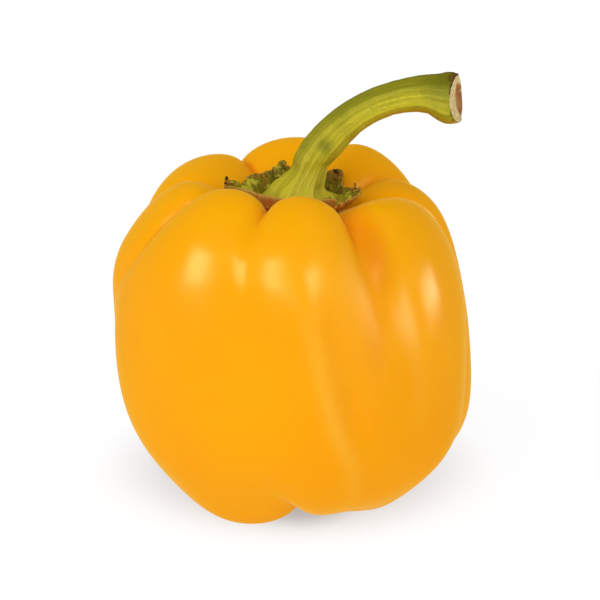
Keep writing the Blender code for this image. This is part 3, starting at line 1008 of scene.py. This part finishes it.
@dataclass
class Stem:
    """The curved stalk and its cut end."""

    levels: int = 2
    bark: StemBark = field(default_factory=StemBark)
    wood: CutWood = field(default_factory=CutWood)
    line: tuple[tuple[float, float, float], ...] = (
        (1.6, 0.5, 79.2),
        (1.7, 0.5, 80.6),
        (2.4, 0.5, 82.8),
        (3.8, 0.6, 85.6),
        (5.8, 0.7, 89.6),
        (8.1, 0.8, 92.9),
        (11.4, 0.8, 96.7),
        (16.0, 0.7, 100.5),
        (21.6, 0.5, 103.5),
        (27.8, 0.0, 105.4),
        (33.2, -0.7, 105.9),
        (36.8, -1.4, 105.4),
        (38.8, -1.9, 105.2),
        (40.0, -2.3, 105.2),
    )
    cut_normal: tuple[float, float, float] = (0.954, -0.282, 0.10)
    cut_radius: float = 6.0
    pith_place: tuple[float, float] = (3.4, -1.1)
    pith_size: tuple[float, float] = (2.7, 4.2)
    end_curve: float = 0.45
    end_lift: float = 0.3
    blotch: tuple[float, float, float] = (8.0, -3.6, 93.3)
    blotch_width: float = 1.9
    foot_top: float = 80.4
    line_samples: int = 240
    waists: tuple[tuple[float, float, float, float], ...] = (
        (0.20, 0.06, 1.0, -0.9),
        (0.11, 0.045, -1.0, -1.1),
        (0.02, 0.03, -1.0, 0.6),
    )
    ribs: tuple[tuple[int, float, float], ...] = (
        (6, 0.05, 0.3),
        (13, 0.06, 2.1),
        (21, 0.05, 4.0),
        (34, 0.03, 1.2),
    )

    def build(self) -> bpy.types.Object:
        """Models the stalk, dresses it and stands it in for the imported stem.

        Returns:
            The stalk.
        """
        piece = smooth_copy(Part.STEM, "stem_stalk", self.levels)
        mesh = piece.data
        self.shape(mesh)
        mesh.materials.append(self.bark.make())
        mesh.materials.append(self.wood.make())
        adopt(piece, Part.STEM)
        return piece

    def shape(self, mesh: bpy.types.Mesh) -> None:
        """Shapes ribs, waists, foot and cut end, lays a map along the stalk and stores its measures.

        Args:
            mesh: The stalk's mesh.
        """
        places = read_vertices(mesh) / MM
        normals = read_vertices(mesh, "normal")
        line = np.array(self.line)
        middle, nearest, share = follow_line(line, self.line_samples, places)
        along = np.gradient(middle, axis=0)
        along /= np.linalg.norm(along, axis=1, keepdims=True)
        out = places - middle[nearest]
        out /= np.maximum(np.linalg.norm(out, axis=1, keepdims=True), 1e-6)
        level = np.cross((0.0, 1.0, 0.0), along[nearest])
        angle = np.arctan2(out[:, 1], np.einsum("ij,ij->i", out, level))

        normal = np.array(self.cut_normal)
        cut = places - line[-1]
        depth = cut @ normal
        ring = np.linalg.norm(cut - depth[:, None] * normal, axis=1) / self.cut_radius
        on_cut = (depth > -1.3) & (ring < 0.99)
        across = np.cross((0.0, 0.0, 1.0), normal)
        across /= np.linalg.norm(across)
        pith = np.hypot(
            (cut @ across - self.pith_place[0]) / self.pith_size[0],
            (cut[:, 2] - self.pith_place[1]) / self.pith_size[1],
        )

        ridge = np.zeros(len(places))
        for count, height, phase in self.ribs:
            drift = np.array([noise.noise(Vector((where * 5.0, count, 0.0))) for where in share])
            ridge += height * np.cos(count * angle + phase + 1.2 * drift + 1.5 * share)
        rise = out[:, 2]
        heel = bell(share - 0.955, 0.035) * np.clip(-rise, 0, 1)
        neck = bell(share - 0.87, 0.03) * np.clip(-rise, 0, 1)
        skin = np.clip((1 - share) / 0.04, 0.25, 1)
        lumps = fractal_noise(places, 0.45, 2)
        move = ~on_cut * (skin * (ridge + 0.10 * lumps) + 0.45 * heel - 0.35 * neck)
        for place, width, side, height in self.waists:
            move += height * bell(share - place, width) * np.clip(1.5 * side * out[:, 0], 0, 1)
        places = places + normals * move[:, None]
        end = ramp(share, 0.88, 0.1)
        curve = self.end_curve * np.clip(np.abs(cut[:, 2]) / 6, 0, 1.1) ** 2
        places[:, 0] += end * curve
        places[:, 2] += end * self.end_lift * np.clip(rise, 0, 1)
        foot = 1 + 0.25 * ramp(places[:, 2], self.foot_top, -1.2)
        places[:, :2] = line[0, :2] + (places[:, :2] - line[0, :2]) * foot[:, None]
        wanted = -0.3 - 0.7 * ramp(pith, 1.1, -0.4) + 0.2 * fractal_noise(places, 1.3, 2) + curve
        wanted = np.where(ring > 0.9, np.maximum(wanted, depth), wanted)
        places += (on_cut * (wanted - depth))[:, None] * normal
        place_vertices(mesh, places * MM)

        chart = mesh.uv_layers.new(name="stem_chart")
        corners = np.empty(len(mesh.loops), dtype=np.int64)
        mesh.loops.foreach_get("vertex_index", corners)
        chart.data.foreach_set("uv", np.stack([angle[corners] / math.tau, share[corners]], axis=1).ravel())
        corner = ramp(depth, -2.2, 1.2) * ramp(rise, 0.6, 0.3)
        from_blotch = np.linalg.norm(places - np.array(self.blotch), axis=1)
        add_measures(
            mesh,
            # Rib height, which also sets the painted light and shade on the ribs.
            ridge=np.clip(ridge / 0.12, -1, 1),
            flare=ramp(share, 0.20, -0.14) * 0.3,
            # Painted shade on the upward-facing side.
            topside=ramp(rise, 0.20, 0.5) * ramp(share, 0, 0.15) * 0.85,
            # Orange-brown on the downward-facing side.
            underside=ramp(rise, -0.55, -0.4) * ramp(share, 0.2, 0.2) * 0.7,
            knob=ramp(share, 0.80, 0.12) * np.clip((rise + 0.5) / 1.4, 0.15, 1) * 0.85,
            bark=np.maximum(ramp(depth, -0.65, 0.4), 0.6 * corner),
            ring=ring + 0.08 * ramp(cut[:, 2], 3.6, 1.6),
            blotch=0.75 * bell(from_blotch, self.blotch_width),
            pith=pith,
        )
        for face in mesh.polygons:
            if all(on_cut[corner] for corner in face.vertices):
                face.material_index = 1


@dataclass(frozen=True)
class Softbox:
    """A lamp that shows only in the shine: its direction, its size in degrees and its brightness."""

    name: str
    azimuth: float
    elevation: float
    width: float
    height: float
    brightness: float


@dataclass(frozen=True)
class WideLight:
    """Soft light from one side: its direction and width in degrees, and its strength."""

    name: str
    azimuth: float
    elevation: float
    spread: float
    strength: float


@dataclass(frozen=True)
class FloorShadow:
    """A soft round shadow on the floor: its middle, where it begins and ends to fade, and its depth."""

    centre: tuple[float, float]
    core: float
    reach: float
    depth: float


@dataclass
class Studio:
    """A pale floor, soft lamps and the camera at the photo's angle."""

    middle: tuple[float, float, float] = (1.73 * MM, 0.54 * MM, 51.6 * MM)
    elevation: float = 20.0
    distance: float = 0.7
    view_width: float = 151.68 * MM
    sensor_width: float = 36.0
    lamp_distance: float = 1.2
    surrounding_light: float = 0.42
    surrounding_shine: Colour = (0.85, 0.55, 0.07)
    softboxes: tuple[Softbox, ...] = (
        Softbox("left_window", -149, 14.5, 19, 30, 15.0),
        Softbox("front_window", -103, 24, 13, 32, 14.0),
        Softbox("right_window", -56, 23.5, 24, 15, 15.0),
        Softbox("side_window", -1, 3.6, 29, 8.5, 13.5),
    )
    wide_lights: tuple[WideLight, ...] = (
        WideLight("key_light", -128, 38, 62, 1.35),
        WideLight("fill_light", -40, 30, 70, 0.6),
    )
    floor_size: float = 8.0
    floor_glow: float = 0.90
    shadows: tuple[FloorShadow, ...] = (
        FloorShadow((0.0, 0.016), 0.016, 0.056, 0.45),
        FloorShadow((0.002, -0.012), 0.004, 0.016, 0.30),
    )

    def build(self) -> None:
        """Makes the floor, the surroundings, the lamps and the camera."""
        self.add_floor()
        self.add_surroundings()
        for softbox in self.softboxes:
            self.add_softbox(softbox)
        for light in self.wide_lights:
            self.add_wide_light(light)
        self.add_camera()

    def add_floor(self) -> None:
        """Lays the dull floor, whose own glow is dimmed under the pepper as a soft shadow."""
        bpy.ops.object.select_all(action="DESELECT")
        bpy.ops.mesh.primitive_plane_add(size=self.floor_size)
        floor = bpy.context.object
        floor.name = "studio_floor"
        tree = NodeTree("studio_floor")
        glow = self.floor_glow
        for shadow in self.shadows:
            centre = (-shadow.centre[0], -shadow.centre[1], 0.0)
            place = tree.node("Mapping", Vector=tree.coordinates(), Location=centre)
            length = tree.node("VectorMath", Vector=place.outputs["Vector"])
            length.operation = "LENGTH"
            away = length.outputs["Value"]
            dim = tree.span(away, shadow.core, shadow.reach, shadow.depth, 0.0, smooth=True)
            glow = tree.math("MULTIPLY", tree.math("SUBTRACT", 1.0, dim), glow)
        tree.set(Base_Color=(0.14, 0.15, 0.165, 1.0), Roughness=0.9, Specular_IOR_Level=0.0)
        tree.set(Emission_Color=(1.0, 1.0, 1.0, 1.0))
        tree.put(glow, "Emission Strength")
        floor.data.materials.append(tree.material)
        floor.visible_glossy = False

    def add_surroundings(self) -> None:
        """Makes surroundings that look white, but are dimmer as light and golden in the shine."""
        world = bpy.data.worlds.new("studio_world")
        world.use_nodes = True
        nodes = world.node_tree.nodes
        links = world.node_tree.links
        background = nodes["Background"]
        rays = nodes.new("ShaderNodeLightPath")
        shine = nodes.new("ShaderNodeMix")
        shine.data_type = "RGBA"
        shine.inputs[6].default_value = (*[self.surrounding_light] * 3, 1.0)
        shine.inputs[7].default_value = (*self.surrounding_shine, 1.0)
        links.new(rays.outputs["Is Glossy Ray"], shine.inputs[0])
        seen = nodes.new("ShaderNodeMix")
        seen.data_type = "RGBA"
        seen.inputs[7].default_value = (1.0, 1.0, 1.0, 1.0)
        links.new(rays.outputs["Is Camera Ray"], seen.inputs[0])
        links.new(shine.outputs[2], seen.inputs[6])
        links.new(seen.outputs[2], background.inputs["Color"])
        bpy.context.scene.world = world
        bpy.context.scene.view_settings.view_transform = "Standard"

    def direction(self, azimuth: float, elevation: float) -> Vector:
        """Gives the unit vector towards a place around the pepper.

        Args:
            azimuth: Degrees anticlockwise from +X.
            elevation: Degrees above level.

        Returns:
            The unit vector.
        """
        turn = math.radians(azimuth)
        rise = math.radians(elevation)
        return Vector((math.cos(rise) * math.cos(turn), math.cos(rise) * math.sin(turn), math.sin(rise)))

    def add_softbox(self, softbox: Softbox) -> None:
        """Hangs a rectangular lamp that faces the pepper.

        Args:
            softbox: The lamp's place, size and brightness.
        """
        light = bpy.data.lights.new(softbox.name, "AREA")
        light.shape = "RECTANGLE"
        light.size = 2 * self.lamp_distance * math.tan(math.radians(softbox.width / 2))
        light.size_y = 2 * self.lamp_distance * math.tan(math.radians(softbox.height / 2))
        light.energy = softbox.brightness * math.pi * light.size * light.size_y
        lamp = add_object(softbox.name, light)
        towards = self.direction(softbox.azimuth, softbox.elevation)
        lamp.location = Vector(self.middle) + towards * self.lamp_distance
        lamp.rotation_euler = towards.to_track_quat("Z", "Y").to_euler()
        lamp.visible_camera = False
        lamp.visible_diffuse = False

    def add_wide_light(self, light: WideLight) -> None:
        """Adds soft light from one side, which doesn't show in the shine.

        Args:
            light: The light's place, width and strength.
        """
        data = bpy.data.lights.new(light.name, "SUN")
        data.angle = math.radians(light.spread)
        data.energy = light.strength
        lamp = add_object(light.name, data)
        towards = self.direction(light.azimuth, light.elevation)
        lamp.rotation_euler = towards.to_track_quat("Z", "Y").to_euler()
        lamp.visible_glossy = False

    def add_camera(self) -> None:
        """Sets the camera at the photo's angle and distance."""
        data = bpy.data.cameras.new("photo_camera")
        camera = add_object("photo_camera", data)
        back = self.direction(-90, self.elevation)
        camera.location = Vector(self.middle) + back * self.distance
        camera.rotation_euler = back.to_track_quat("Z", "Y").to_euler()
        data.sensor_width = self.sensor_width
        data.lens = self.sensor_width * self.distance / self.view_width
        data.clip_start = 0.01
        data.clip_end = 20.0
        bpy.context.scene.camera = camera


def main() -> None:
    """Builds every piece in order and reports each one."""
    fruit = Fruit().build()
    pieces = [fruit, *Calyx().build(), Stem().build()]
    for piece in pieces:
        LOG.info("%s: %d faces", piece.name, len(piece.data.polygons))
    Studio().build()
    LOG.info("studio built")


if __name__ == "__main__":
    main()
